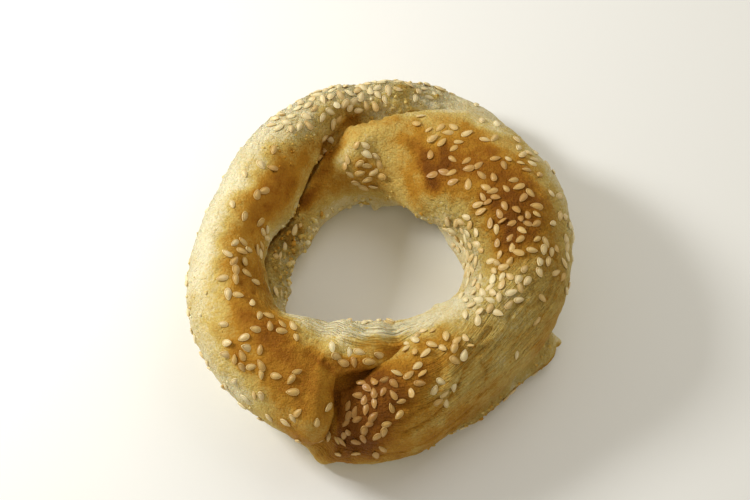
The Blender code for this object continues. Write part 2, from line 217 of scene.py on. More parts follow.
# ---- uneven skin: height, size of the bumps, and seed of each noise ----
LUMPS = ((0.40, 13.0, 1), (0.22, 6.0, 2))
SKIN_BUMPS = ((0.28, 2.8, 3), (0.26, 1.5, 4))  # higher where the skin is rough
TORN_LUMPS = ((1.3, 2.6, 7), (0.8, 1.3, 8))  # on the torn wall
CRAGS = ((2.2, 4.4, 15), (1.2, 1.9, 16))  # on the hole's left rim
CRAG_PATCH = (174, 190, 31, 26)
TERRACE_WAVES = ((0.5, 2.2, 18),)  # degrees, along the ring
BLISTERS = ((1.0, 1.7, 9),)
BLISTER_HEIGHT = 0.8
BLISTER_FROM = 0.35  # of the noise, and the roughness from which they show
BLISTER_ROUGH = 0.6
FOOT_FADE = 2.5  # height below which the skin is even

# ---- stretch marks: height, patch, middle, length, width, lean and seed, as for grain() ----
GRAIN_DEPTH = 2.2
GRAIN_SHARP = 0.7
GRAIN_APART = 7.3  # between the noises of two seeds
STRETCH = (
    (0.13, (314, 42, 34, 52), 300.0, 9.0, 1.5, 0.40, 5),    # lower right
    (0.36, (258, 125, 40, 20), 268.0, 22.0, 1.3, 0.0, 6),   # towards the hole at the front
    (0.24, (345, 78, 22, 34), 345.0, 7.0, 1.3, -0.5, 13),   # right
    (0.36, (212, 132, 16, 26), 212.0, 9.0, 1.5, -0.3, 14),  # towards the hole at the lower left
)

# ---- finest wrinkles: strength, lean, and the patch's middle and reach in ring and section angle ----
LINES_FROM = 290  # ring angle where their length is counted from
LINES = (
    (1.0, 0.0, 256, 129, 40, 20),    # towards the hole at the front
    (0.7, 0.40, 314, 42, 36, 52),    # lower right
    (0.25, -0.50, 347, 80, 24, 34),
    (0.7, -0.30, 212, 132, 18, 26),  # towards the hole at the lower left
    (0.5, 0.0, 262, -8, 24, 22),     # foot at the front
    (0.25, 0.1, 40, 132, 24, 16),
)

# ---- roughness of the skin: amount, and the patch's middle and reach in ring and section angle ----
ROUGH_LEAST = 0.55
ROUGH = (
    (0.9, 150, 15, 50, 36),     # outer left and back left, floury
    (1.0, 176, 175, 34, 34),    # the hole's left rim
    (0.7, 100, 36, 32, 26),     # back, among the seeds
    (0.6, 5, 130, 42, 26),      # right side, towards the hole
    (0.5, 350, 60, 30, 40),     # right-hand crest, lower part
    (-0.35, 160, 98, 34, 24),   # smooth golden crest
    (-0.30, 222, 70, 22, 30),
    (0.8, 310, -20, 30, 16),    # foot at the flap
    (0.5, 118, 84, 14, 20),     # golden top at the back
    (-0.35, 256, 126, 44, 22),  # strip towards the hole at the front
)

# ---- browning, with painted shade and light where noted: strength, and the patch's middle and reach in ring and section angle ----
BROWNING = (
    # right-hand crest
    (0.62, 12, 92, 32, 20),
    (0.14, 5, 66, 22, 13),
    (0.14, 352, 58, 18, 16),
    (0.20, 355, 104, 24, 20),
    (0.12, 22, 76, 16, 18),
    (0.17, 30, 119, 14, 9),
    (0.04, 22, 126, 24, 12),
    # crest of strand R, and the crease on it
    (0.20, 58, 92, 20, 14),
    (-0.14, 75, 96, 8, 10),
    (0.12, 46, 84, 10, 8),
    (-0.10, 44, 131, 9, 6),
    (0.60, 49, 112, 14, 16),
    (0.32, 66, 121, 12, 10),
    (0.20, 70, 132, 22, 16),
    (0.10, 80, 106, 10, 12),
    (0.20, 58, 147, 22, 12),
    (0.08, 50, 120, 70, 60),
    # back, among the seeds
    (0.16, 101, 80, 10, 16),
    (0.12, 82, 58, 10, 14),
    # paler at the tab's rim: painted light
    (-0.16, 91, 80, 7, 8),
    (0.04, 114, 50, 26, 26),
    # inside the back, beside seam A: browning, and painted shade along the seam's groove
    (0.30, 100, 166, 30, 18),
    (0.20, 150, 172, 40, 22),
    (0.26, 115, 133, 6, 10),
    (0.13, 104, 124, 8, 18),
    (0.15, 90, 103, 10, 16),
    (0.34, 121, 149, 8, 8),
    (0.36, 142, 163, 12, 9),
    # the hole's left rim
    (0.04, 168, 170, 18, 16),
    (0.10, 180, 164, 16, 18),
    (0.05, 182, 194, 34, 30),
    # crest of strand P at the left
    (0.52, 149, 105, 29, 20),
    (0.20, 142, 128, 26, 18),
    (0.32, 188, 95, 26, 25),
    (0.30, 200, 126, 22, 13),
    # outer left
    (-0.15, 160, 44, 60, 28),
    (0.09, 216, 42, 20, 24),
    # lower left, up to the step
    (0.28, 214, 100, 16, 24),
    (0.26, 227, 92, 12, 20),
    (0.46, 238, 76, 22, 26),
    (0.20, 224, 56, 8, 8),
    (0.29, 247, 44, 12, 30),
    (0.14, 255, 93, 8, 9),
    # the foot here: browned, and partly painted shade
    (0.30, 246, -24, 14, 20),
    (0.20, 246, 8, 14, 20),
    # recess, browned and partly in painted shade, and knob past the step
    (0.24, 264, 50, 10, 42),
    (0.52, 274, 56, 14, 29),
    (0.26, 292, 74, 15, 26),
    # foot at the front: browned underside, partly painted shade
    (0.40, 259, 0, 12, 24),
    (0.32, 285, 0, 22, 30),
    # from the knob to the hole
    (0.32, 271, 116, 15, 9),
    (0.15, 294, 93, 13, 12),
    (0.20, 279, 106, 9, 10),
    (-0.26, 256, 130, 42, 15),
    (-0.10, 322, 105, 18, 30),
    # lower right
    (0.08, 318, 76, 30, 24),
    (0.07, 300, 26, 56, 26),
    (0.09, 322, 24, 36, 32),
    (0.10, 338, 28, 18, 22),
    (0.12, 312, -8, 24, 18),
    (0.15, 333, -8, 14, 24),
    # edge of the flap, browned, and its end, pale dough and partly painted light
    (0.08, 320, -34, 24, 12),
    (-0.24, 342, -14, 3, 40),
)
BAKE_LEAST = 0.08
BAKE_ON_TOP = 0.07  # more of it high up, from this height and over this rise
BAKE_FROM = 14.0
BAKE_RISE = 18.0
BAKE_WAVES = ((0.05, 9.0, 21),)
BAKE_VARIES = ((0.22, 3.6, 22),)  # as a share of it
PATCH_STEEP = 1.5  # how crisp a patch's border is
RING_DRIFT = ((5.0, 7.0, 23),)  # degrees by which the border wanders
TURN_DRIFT = ((5.0, 5.0, 24),)

# ---- browning and painted shade along lines: strength, spread, and the line, as for the relief ----
STAINS = (
    # painted shade on the wall beside seam A, and farther left in its groove
    (0.19, 2.1, ((99, 86), (103, 95), (105, 104), (107, 112), (110, 119), (114, 125))),
    (0.26, 1.5, ((115, 130), (118, 141), (123, 151), (130, 161), (138, 169))),
    # pale floor beside it
    (-0.05, 1.7, ((97, 118), (101, 124), (104, 130), (107, 135), (112, 139))),
    # strand P's edge at the left
    (-0.04, 1.6, ((124, 122), (136, 136), (150, 146), (161, 145))),
    # painted shade in the fold left of the recess
    (0.16, 1.1, ((251, 89), (247, 89), (243, 91))),
    # painted shade on the side of the upper layer at the back
    (0.20, 1.0, ((84, 40), (78, 34), (73, 30))),
    # painted shade where the strip meets the recess, and in the crack between strip and knob
    (0.20, 1.0, ((253, 96), (260, 99), (268, 104), (278, 110))),
    (0.40, 0.6, ((262, 78), (266, 88), (271, 93), (276, 97))),
    # brown ends at the crease on strand R
    (0.22, 1.4, ((75, 98), (66, 117), (58, 122), (50, 123))),
    # edge of the flap
    (0.34, 0.7, ((338, -54), (335, -42), (329, -28), (321, -25), (313, -26), (306, -26), (298, -30))),
)

# ---- seeds ----
SEED_LENGTH = 3.2
SEED_WIDTH = 1.8
SEED_HEIGHT = 0.9
SEED_SUNK = 0.28  # share of the height
SEED_SIDES = 18
SEED_FULL = 0.57  # fullness and taper of the drop's outline
SEED_TAPER = 0.45
SEED_LINE_AT = 0.77  # of the way out, the line inside the seed's rim
# the rim line, and the underside edge as painted shade, are darker by this tone
SEED_LINE_AND_SHADE_TONE = 0.30
SEED_RINGS = ((0.80, -0.32), (1.0, 0.0), (0.96, 0.17), (0.87, 0.27), (SEED_LINE_AT, 0.19), (0.62, 0.34),
              (0.34, 0.45))      # shares of the outline and of the height
SEED_SIZES = (0.86, 1.12)
SEED_STRETCH = ((0.92, 0.92, 0.85), (1.08, 1.08, 1.2))  # least and most: along, across and up
SEED_DRAW = 11
SEED_TRIES = 12
SEED_GAP = 2.2
SEED_LEAST_HEIGHT = 1.5  # of the crust under it
SEED_TILT = 0.13
SEEDS_LOOSE = 0.12  # share of the seeds that lie less flat, and how much more they tilt
LOOSE_TILT = 2.4
SEED_LIFT = 0.05  # spread of the height at which it lies
# the seeds' tone follows the crust's browning and painted shade, and the relief's share darkens them as
# painted shade in the recess and seams
TOAST_OF_BAKE = 0.8
TOAST_AND_SHADE_OF_RELIEF = 0.3
TOAST_SPREAD = 0.10
OFF_UP = (0.31, 0.17, 0.93)  # a direction that no seed's own up follows
RIM_HEIGHT = 0.12  # of the dough round each seed, and how far it is looked for
RIM_REACH = 3.0
RIM_AT = 1.25  # shares of the seed's outline
RIM_WIDTH = 0.28
PIT_WIDTH = 0.9
LEAST_HEIGHT = 0.05  # of the points of seeds and crumbs above the table

# clusters, in the order they are drawn: middle and reach in ring and section angle, and a number
CLUSTERS = (
    (118, 62, 13, 20, 30),   # band over the back
    (100, 50, 14, 22, 34),
    (82, 26, 10, 22, 16),
    (108, 87, 3, 6, 3),      # along strand P's edge
    (113, 104, 3, 6, 3),
    (118, 118, 3, 4, 2),
    (160, 90, 24, 22, 8),    # left-hand crest
    (180, 118, 10, 14, 7),
    (195, 92, 9, 16, 9),
    (99, 156, 12, 20, 21),   # inside the back
    (64, 92, 14, 15, 9),     # right-hand crest, from the back to the front
    (50, 108, 20, 16, 10),
    (38, 74, 18, 16, 14),
    (28, 98, 14, 14, 10),
    (7, 98, 14, 22, 20),
    (348, 88, 14, 26, 26),
    (328, 92, 16, 28, 30),
    (2, 146, 25, 24, 30),    # right side, towards the hole
    (8, 54, 34, 16, 17),     # and outward
    (301, 70, 6, 16, 10),    # between the hole and the knob
    (291, 96, 11, 18, 9),
    (278, 62, 8, 16, 18),    # knob
    (291, 42, 5, 12, 6),
    (269, 34, 7, 18, 10),
    (265, 42, 6, 34, 15),    # recess
    (260, 102, 11, 6, 9),
    (212, 88, 12, 30, 9),    # lower left
    (228, 101, 8, 9, 8),
    (226, 58, 9, 16, 12),
    (243, 48, 12, 34, 11),
    (180, 176, 28, 22, 9),   # the hole's rims: left, right and front
    (10, 185, 30, 20, 14),
    (258, 150, 24, 8, 13),
    (322, 35, 8, 12, 2),     # lower right
    (308, -36, 20, 12, 11),  # edge of the flap
    (262, 5, 16, 14, 10),    # feet all round
    (222, 15, 24, 24, 13),
    (190, 8, 34, 36, 20),
    (110, 0, 50, 26, 34),
    (18, 12, 42, 26, 20),
)

# ---- crumbs: middle and reach in ring and section angle, number, and relative size ----
CRUMB_DRAW = 5
CRUMB_SIZE = (0.5, 1.5)
CRUMBS = (
    (176, 176, 30, 26, 80, 1.0),  # the hole's left rim
    (172, 198, 28, 14, 26, 1.7),
    (124, 196, 34, 9, 34, 1.6),   # the hole's back rim
    (55, 165, 40, 14, 18, 1.0),
    (118, 122, 5, 4, 9, 1.5),     # strand P's edge at the back
    (88, 60, 15, 24, 22, 1.0),    # torn wall
    (128, 14, 36, 32, 70, 1.0),   # back left
    (130, 84, 14, 20, 36, 0.9),
    (172, 4, 36, 22, 60, 1.1),    # outer left
    (310, -26, 28, 12, 50, 1.0),  # edge of the flap
    (215, 20, 24, 44, 18, 1.0),   # lower left
)
LIP_CRUMBS = (108, 206)  # ring angles of strand P's edge
LIP_CRUMB_COUNT = 20
LIP_CRUMB_TURN = 86.0  # past the direction of strand P, less a share of their reach
LIP_CRUMB_REACH = 7.0
CRUMB_BAKE = 0.9  # share of the crust's, then mean and spread of what is added
CRUMB_BROWNER = (0.06, 0.08)
CRUMB_POINTS = (8, 5)  # round it, and between its poles
CRUMB_WAVES = ((0.45, 1.1, 31),)
CRUMB_FLAT = (0.6, 1.0)
CRUMB_SHIFT = 50.0  # how far apart their noises may be taken

# ---- mesh of the crust ----
RING_STEPS = 600
SECTION_STEPS = 166
DENSE_AT = ((253.5, 6.0, 1.6), (340.8, 2.5, 1.5), (70.8, 2.5, 1.2))  # ring angle, spread, gain
SEAM_GAIN = 0.8
SEAM_SPREAD = 0.12
STRIP_GAIN = 0.9  # of the wrinkled strip at the front
STRIP_PATCH = (260, 126, 44, 22)
BELOW_SHARE = 0.3  # share of its points that the underside keeps
MESH_BLUR = 5.0  # rings over which the spacing is evened out
MESH_REACH = 12

# ---- materials ----
CREAM = (0.82, 0.745, 0.49)
TAN = (0.64, 0.46, 0.125)
GOLDEN = (0.49, 0.235, 0.022)
BROWN = (0.32, 0.118, 0.006)
DARK = (0.19, 0.060, 0.003)
CRUST_RAMP = ((0.0, CREAM), (0.25, TAN), (0.5, GOLDEN), (0.78, BROWN), (1.0, DARK))
CRUST_MOTTLE = (160.0, 4.0, 0.06)  # scale per metre, detail, and reach in tone
CRUST_SPECKLE = (1500.0, 3.0, 0.08)
PORES = (2000.0, 3.0)
PORE_DEPTH = 0.0009  # metres, as the depths below
GRIT = (750.0, 4.0)
GRIT_DEPTH = 0.0014
LINE_SCALE = (0.07, 1.25, 1.0)  # per millimetre, along and across the finest wrinkles
LINE_DEPTH = 0.0040
VALLEY_WIDTH = 0.03  # of the painted shade between them, in noise
VALLEY_SHADE_TONE = 0.30
CRUST_SHEEN = (0.9, 0.66, 0.50)  # a tone, and the roughness when pale and at that tone
CRUST_SPECULAR = 0.10
CRUST_GLOW = (0.12, (1.0, 0.5, 0.2), 0.0015)
SEED_PALE = (0.80, 0.68, 0.40)
SEED_TOASTED = (0.62, 0.40, 0.12)
SEED_DARK = (0.42, 0.205, 0.04)
SEED_RAMP = ((0.0, SEED_PALE), (0.5, SEED_TOASTED), (1.0, SEED_DARK))
SEED_MOTTLE = (700.0, 2.0, 0.06)
SEED_VARIES = 0.08
SEED_GRAIN = (2200.0, 2.0)
SEED_GRAIN_DEPTH = 0.00006
SEED_SHEEN = (0.8, 0.48, 0.40)
SEED_GLOW = (0.2, (1.0, 0.7, 0.35), 0.0012)

# ---- stage: metres and watts ----
FLOOR_REACH = 3.0
FLOOR_COLOUR = (0.90, 0.90, 0.89, 1.0)
FLOOR_ROUGHNESS = 0.8
SKY_COLOUR = (1.0, 0.94, 0.80, 1.0)
SKY_STRENGTH = 0.46
LIGHT_AIM = (0.0, 0.0, 0.015)
LIGHTS = (  # name, place, width, power and colour
    ("key", (-0.33, 0.11, 0.25), 0.10, 1.46, (1.0, 1.0, 0.97)),
    ("back", (0.16, 0.20, 0.42), 0.30, 0.40, (1.0, 0.98, 0.93)),
)

# ---- camera: as the photograph was taken ----
CAMERA_ELEVATION = 62.0  # degrees
CAMERA_DISTANCE = 0.55
CAMERA_AIM = (-0.0002, -0.0005, 0.014)
PIXELS_PER_MM = 3.53  # at the aim point
IMAGE_SIZE = (750, 500)
AIM_PIXEL = (379, 263)
SENSOR_WIDTH = 36.0


def rounded(values, width):
    """Smooth a periodic table with a Gaussian of the given width in degrees."""
    count = len(values)
    steps = np.arange(-count // 2, count // 2)
    kernel = np.exp(-0.5 * (steps * 360.0 / count / width) ** 2)
    kernel = np.fft.fft(np.fft.ifftshift(kernel / kernel.sum()))
    return np.real(np.fft.ifft(np.fft.fft(values) * kernel))


def around(stations, width, climb=0.0):
    """Table of a value over the ring; climb is what it gains in one full turn."""
    angle = np.array([station[0] for station in stations], float)
    value = np.array([station[1] for station in stations], float) - climb * angle / 360.0
    grid = np.arange(TABLE_STEPS) * 360.0 / TABLE_STEPS
    return rounded(np.interp(grid, angle, value, period=360.0), width)


def look(table, phi, climb=0.0):
    """Value of a table at any ring angle."""
    place = np.mod(phi, 360.0) * TABLE_STEPS / 360.0
    index = np.floor(place).astype(int)
    part = place - index
    low = table[index % TABLE_STEPS]
    high = table[(index + 1) % TABLE_STEPS]
    return low + (high - low) * part + climb * phi / 360.0


def apart(angle, middle):
    """How far an angle is past a middle one, from -180 to 180."""
    return np.mod(angle - middle + 180.0, 360.0) - 180.0


def from_below(theta):
    """Section angle from -90, straight down, to 270."""
    return np.mod(theta + 90.0, 360.0) - 90.0


def smooth_step(value):
    """0 below 0, 1 above 1, and a smooth rise between."""
    value = np.clip(value, 0.0, 1.0)
    return value * value * (3.0 - 2.0 * value)


class Dough:
    """The dough's surface, in millimetres, over ring angle and section angle in degrees."""

    def __init__(self):
        self.outer = around(OUTER_EDGE, EDGE_ROUND)
        self.inner = around(INNER_EDGE, EDGE_ROUND)
        self.crest = around(CREST_HEIGHT, CREST_ROUND)
        self.twist = around(TWIST, TWIST_ROUND, 360.0)
        self.spacing = around(SPACING, CREST_ROUND)
        self.strand_p = around(STRAND_P, STRAND_ROUND)
        self.strand_r = around(STRAND_R, STRAND_ROUND)
        self.flap_edge = around(FLAP_EDGE, FLAP_ROUND)
        self.flap_span = around(FLAP_SPAN, FLAP_END_ROUND)
        phi = np.arange(TABLE_STEPS) * 360.0 / TABLE_STEPS
        self.extent = self.section_extents(phi)
        self.low_edge = np.full(TABLE_STEPS, 1000.0)      # beyond the flap, which is left out at first
        self.low_edge = self.find_low_edge(phi)
        self.seam_depth = self.both_seams(SEAM_A_DEPTH, SEAM_B_DEPTH, SEAM_ROUNDS)
        self.seam_ledge = self.both_seams(SEAM_A_LEDGE, SEAM_B_LEDGE, SEAM_ROUNDS)
        self.seam_cut = self.both_seams(SEAM_A_CUT, SEAM_B_CUT, CUT_ROUNDS)
        self.fill = around(SEAM_B_FILL, LIP_ROUND)
        self.lip = around(LIP, LIP_ROUND)
        self.relief = self.traced(RELIEF)
        self.folds = self.traced(FOLDS)
        self.stains = self.traced(STAINS)
        self.recess = self.trace(RECESS_LINE)
        self.torn = self.trace(TORN_LINE)

    def both_seams(self, seam_a, seam_b, widths):
        """Tables of a value along seam A and along seam B."""
        return around(seam_a, widths[0]), around(seam_b, widths[1])

    def traced(self, rows):
        """Rows of a relief table, each with the close points of its line."""
        return [(height, spread, self.trace(knots)) for height, spread, knots in rows]

    def step_line(self, theta):
        """Ring angle of the step's edge at a section angle."""
        return np.interp(from_below(theta), *np.array(STEP_LINE, float).T)

    def twist_angle(self, phi, theta):
        """Direction from strand R to strand P; the step leans, and is spread on the hole side."""
        offset = phi - STEP_AT
        near = np.exp(-(offset / STEP_REACH) ** 2)
        hole_side = np.clip((from_below(theta) - SPREAD_FROM) / SPREAD_RISE, 0.0, 1.0)
        lean = STEP_AT - self.step_line(theta)
        moved = near * (lean * (1.0 - hole_side) - STEP_FADE * hole_side * offset)
        return look(self.twist, phi + moved, 360.0)

    def past_step(self, phi, theta):
        """0 on strand P before the step, 1 beyond it."""
        return smooth_step(0.5 + (phi - self.step_line(theta)) / STEP_SOFT)

    def section(self, phi, theta):
        """Distance from the section's hub to its skin, and how far strand P stands over R."""
        angle = np.radians(theta - self.twist_angle(phi, theta))
        spacing = look(self.spacing, phi)
        across = (spacing * np.sin(angle)) ** 2
        along = spacing * np.cos(angle)
        strand_p = along + np.sqrt(np.maximum(look(self.strand_p, phi) ** 2 - across, 1e-6))
        strand_r = -along + np.sqrt(np.maximum(look(self.strand_r, phi) ** 2 - across, 1e-6))
        over = strand_p - strand_r
        return 0.5 * (strand_p + strand_r + np.sqrt(over ** 2 + SEAM_ROUND ** 2)), over

    def section_extents(self, phi):
        """How far each section reaches in, out, down and up, before it is sized."""
        ring, turn = np.meshgrid(phi, np.arange(0.0, 360.0, 3.0), indexing="ij")
        skin, _ = self.section(ring, turn)
        out = skin * np.cos(np.radians(turn))
        up = skin * np.sin(np.radians(turn))

        def reach(values):
            soft = EXTENT_ROUND * np.log(np.mean(np.exp(values / EXTENT_ROUND), axis=1))
            return soft + EXTENT_MARGIN

        ends = (-reach(-out), reach(out), -reach(-up), reach(up))
        return [rounded(end, REACH_ROUND) for end in ends]

    def form(self, phi, theta):
        """Point on the dough without its seam depth and single dents."""
        skin, over = self.section(phi, theta)
        in_end, out_end, low_end, high_end = (look(end, phi) for end in self.extent)
        outer = look(self.outer, phi)
        inner = look(self.inner, phi)
        across = (skin * np.cos(np.radians(theta)) - in_end) / (out_end - in_end)
        upward = (skin * np.sin(np.radians(theta)) - low_end) / (high_end - low_end)
        radius = inner + across * (outer - inner)
        height = -SUNK + upward * (look(self.crest, phi) + SUNK)
        # the flap: the foot is drawn out to its own edge, and fades into the wall above
        low_edge = look(self.low_edge, phi)
        reach = look(self.flap_span, phi) * np.maximum(look(self.flap_edge, phi) - low_edge, 0.0)
        middle = 0.5 * (outer + inner)
        share = np.clip((radius - middle) / np.maximum(low_edge - middle, 1.0), 0.0, 1.0)
        radius = radius + reach * share * smooth_step((FLAP_THICK + FLAP_FADE - height) / FLAP_FADE)
        height = np.maximum(height, 0.0)
        angle = np.radians(phi)
        return np.stack([radius * np.cos(angle), radius * np.sin(angle), height], -1), over

    def find_low_edge(self, phi):
        """Radius of the outer wall just above the table, before the flap is added."""
        ring, turn = np.meshgrid(phi, np.arange(-90.0, 21.0, 1.0), indexing="ij")
        point, _ = self.form(ring, turn)
        radius = np.hypot(point[..., 0], point[..., 1])
        return rounded(np.where(point[..., 2] <= FLAP_THICK, radius, 0.0).max(1), FOOT_ROUND)

    def trace(self, knots):
        """Close points along a line given by ring and section angles."""
        knots = np.array(knots, float)
        share = np.linspace(0.0, len(knots) - 1.0, TRACE_STEPS * (len(knots) - 1) + 1)
        ring = np.interp(share, np.arange(len(knots)), knots[:, 0])
        turn = np.interp(share, np.arange(len(knots)), knots[:, 1])
        return self.form(ring, turn)[0]

    def lean(self, phi, theta, step=0.6):
        """Unit normal of the form, and the unit direction across it, of growing section angle."""
        along = self.form(phi + step, theta)[0] - self.form(phi - step, theta)[0]
        across = self.form(phi, theta + step)[0] - self.form(phi, theta - step)[0]
        return unit(np.cross(along, across)), unit(across)

    def skin(self, phi, theta):
        """Finished point on the crust, its normal, and what its relief adds to the browning and the painted
        shade.
        """
        point, over = self.form(phi, theta)
        normal, across = self.lean(phi, theta)
        at_a = np.mod(theta - self.twist_angle(phi, theta), 360.0) < 180.0

        def at_seam(tables):
            return np.where(at_a, look(tables[0], phi), look(tables[1], phi))

        ledge = at_seam(self.seam_ledge)
        cut = at_seam(self.seam_cut)
        push = -at_seam(self.seam_depth) * np.exp(-(over / SEAM_WIDTH) ** 2)
        push = push - cut * np.exp(-np.abs(over - CUT_AT) / CUT_WIDTH)
        push = push + np.where(at_a, 0.0, look(self.fill, phi)) * np.exp(-(over / FILL_WIDTH) ** 2)
        proud = np.maximum(np.sign(ledge) * over, 0.0)
        risen = (1.0 - np.exp(-(proud / LEDGE_RISE) ** 2)) * np.exp(-proud / LEDGE_RUN)
        push = push + np.abs(ledge) * risen
        recess = bell(point, self.recess, RECESS_REACH) * smooth_step(0.5 - over / RECESS_RISE)
        push = push - RECESS_DEPTH * recess + drawn(point, self.relief)
        fine = self.wrinkles(phi, theta, point)
        fold = drawn(point, self.folds)
        # strand P's edge hangs over seam A, more at some places than at others
        edge = np.exp(-((over - LIP_AT) / LIP_WIDTH) ** 2) * at_a * look(self.lip, phi)
        edge = edge * (LIP_MEAN + waves(point, LIP_WAVES))
        # painted shade in the seams' crevices
        crevice_shade = np.exp(-(over / CREVICE_SPREAD) ** 2) * smooth_step(cut)
        # stains give browning and painted shade, bumps browning, and folds painted shade at their bottoms
        bake_and_shade = drawn(point, self.stains) + RELIEF_BAKE * fine - FOLD_SHADE * np.minimum(fold, 0.0)
        # the recess's floor darker: browned, and partly painted shade
        bake_and_shade = bake_and_shade + RECESS_BAKE_AND_SHADE * window(phi, theta, *RECESS_PATCH) * self.past_step(phi, theta)
        bake_and_shade = bake_and_shade + CREVICE_SHADE * crevice_shade * np.where(at_a, 1.0, CREVICE_B_SHARE)
        point = point + normal * (push + fine + fold)[..., None] + across * edge[..., None]
        point[..., 2] = np.maximum(point[..., 2], 0.0)
        return point, normal, bake_and_shade

    def wrinkles(self, phi, theta, point):
        """Height of the uneven skin: soft lumps, blisters and stretch marks."""
        rough = roughness(phi, theta)
        blister = np.maximum(waves(point, BLISTERS) - BLISTER_FROM, 0.0)
        blister = blister * np.maximum(rough - BLISTER_ROUGH, 0.0)
        height = waves(point, LUMPS) + rough * waves(point, SKIN_BUMPS) + BLISTER_HEIGHT * blister
        for tall, patch, *marks in STRETCH:
            height = height + tall * window(phi, theta, *patch) * grain(phi, theta, *marks)
        height = height + window(phi, theta, *CRAG_PATCH) * waves(point, CRAGS)
        past = apart(phi, TERRACE_AT) + waves(point, TERRACE_WAVES)
        layer = smooth_step(past / TERRACE_EDGE) * np.exp(-np.maximum(past, 0.0) / TERRACE_FADE)
        height = height + TERRACE_HEIGHT * layer * window(phi, theta, *TERRACE_PATCH)
        height = height + bell(point, self.torn, TORN_REACH) * (waves(point, TORN_LUMPS) - TORN_DEPTH)
        return height * smooth_step(point[..., 2] / FOOT_FADE)


def unit(vectors):
    """The vectors at length 1."""
    return vectors / (np.linalg.norm(vectors, axis=-1, keepdims=True) + 1e-9)


def hashed(x, y, z, seed):
    """A number from -1 to 1 for each cell of a lattice, always the same."""
    mix = (x * 73856093) ^ (y * 19349663) ^ (z * 83492791) ^ (seed * 2654435761)
    mix = (mix & 0xFFFFFFFF) * 1103515245 + 12345
    mix = ((mix >> 15) ^ mix) & 0xFFFFFFFF
    mix = mix * 2246822519
    return ((mix >> 13) & 0xFFFF) / 32767.5 - 1.0


def noise(points, size, seed):
    """Smooth noise of about -1 to 1 in 3-D, with bumps of the given size."""
    scaled = points / size + 100.0
    cell = np.floor(scaled).astype(np.int64)
    part = scaled - cell
    ease = part * part * part * (part * (part * 6.0 - 15.0) + 10.0)
    total = np.zeros(points.shape[:-1])
    for corner in range(8):
        step = np.array([corner & 1, corner >> 1 & 1, corner >> 2 & 1])
        x, y, z = (cell[..., axis] + step[axis] for axis in range(3))
        weight = np.prod(np.where(step == 1, ease, 1.0 - ease), axis=-1)
        slope = sum(hashed(x, y, z, 3 * seed + axis) * (part[..., axis] - step[axis]) for axis in range(3))
        total += weight * slope
    return 1.5 * total


def waves(point, rows):
    """Sum of noises, each given by its height, the size of its bumps and its seed."""
    return sum(height * noise(point, size, seed) for height, size, seed in rows)


def grain(phi, theta, middle, length, width, lean, seed):
    """Ridges drawn out along the ring about its middle angle, of the given length and width in
    millimetres, from -1 to 1.  lean is the section angle gained for each degree of the ring."""
    ring = apart(phi, middle)
    turn = from_below(theta) - lean * ring
    places = [ring * RING_MM / length, turn * TURN_MM / width, np.full(ring.shape, GRAIN_APART * seed)]
    return 1.0 - GRAIN_DEPTH * np.abs(noise(np.stack(places, -1), 1.0, seed)) ** GRAIN_SHARP


def bell(point, line, reach):
    """1 on a line of points, fading to 0 past its reach."""
    away = np.full(point.shape[:-1], 1e9)
    for knot in line:
        away = np.minimum(away, ((point - knot) ** 2).sum(-1))
    return np.exp(-0.5 * away / reach ** 2)


def drawn(point, rows):
    """Sum of a relief table's rows at the points."""
    return sum(height * bell(point, line, spread) for height, spread, line in rows)


def window(phi, theta, ring, turn, ring_reach, turn_reach, steep=WINDOW_STEEP):
    """1 at the middle of a patch of the crust, fading to 0 past its reach, fast where it is steep."""
    along = apart(phi, ring) / ring_reach
    across = apart(theta, turn) / turn_reach
    return np.exp(-(along ** 2 + across ** 2) ** steep)


def roughness(phi, theta):
    """How rough the skin is, about 0.2 to 1.5."""
    rough = np.full(np.shape(phi), ROUGH_LEAST)
    for amount, *where in ROUGH:
        rough = rough + amount * window(phi, theta, *where)
    return rough


def scatter(dough):
    """Seeds as arrays of ring angle, section angle, heading and size, drawn cluster by cluster."""
    draw = random.Random(SEED_DRAW)
    found = []
    points = np.zeros((0, 3))
    for ring, turn, ring_reach, turn_reach, number in CLUSTERS:
        for _ in range(number):
            for _ in range(SEED_TRIES):
                share = math.sqrt(draw.random())
                way = draw.uniform(0.0, 2.0 * math.pi)
                phi = ring + ring_reach * share * math.cos(way)
                theta = turn + turn_reach * share * math.sin(way)
                heading = draw.uniform(0.0, math.pi)
                size = draw.uniform(*SEED_SIZES)
                point = dough.form(np.array(phi), np.array(theta))[0]
                if point[2] < SEED_LEAST_HEIGHT:
                    continue
                if len(points) and np.linalg.norm(points - point, axis=1).min() < SEED_GAP:
                    continue
                points = np.vstack([points, point])
                found.append((phi, theta, heading, size))
                break
    return np.array(found)


def shared_out(places, weights, count):
    """Places that divide the weights into equal shares, starting at the first place."""
    total = np.concatenate([[0.0], np.cumsum(0.5 * (weights[1:] + weights[:-1]))])
    return np.interp(np.arange(count) * total[-1] / count, total, places)


def ring_angles():
    """Ring angles of the mesh, closer together at the places in DENSE_AT."""
    phi = np.arange(0.0, 360.01, 0.25)
    weights = np.ones(len(phi))
    for place, spread, gain in DENSE_AT:
        weights += gain * np.exp(-((phi - place) / spread) ** 2)
    return shared_out(phi, weights, RING_STEPS)


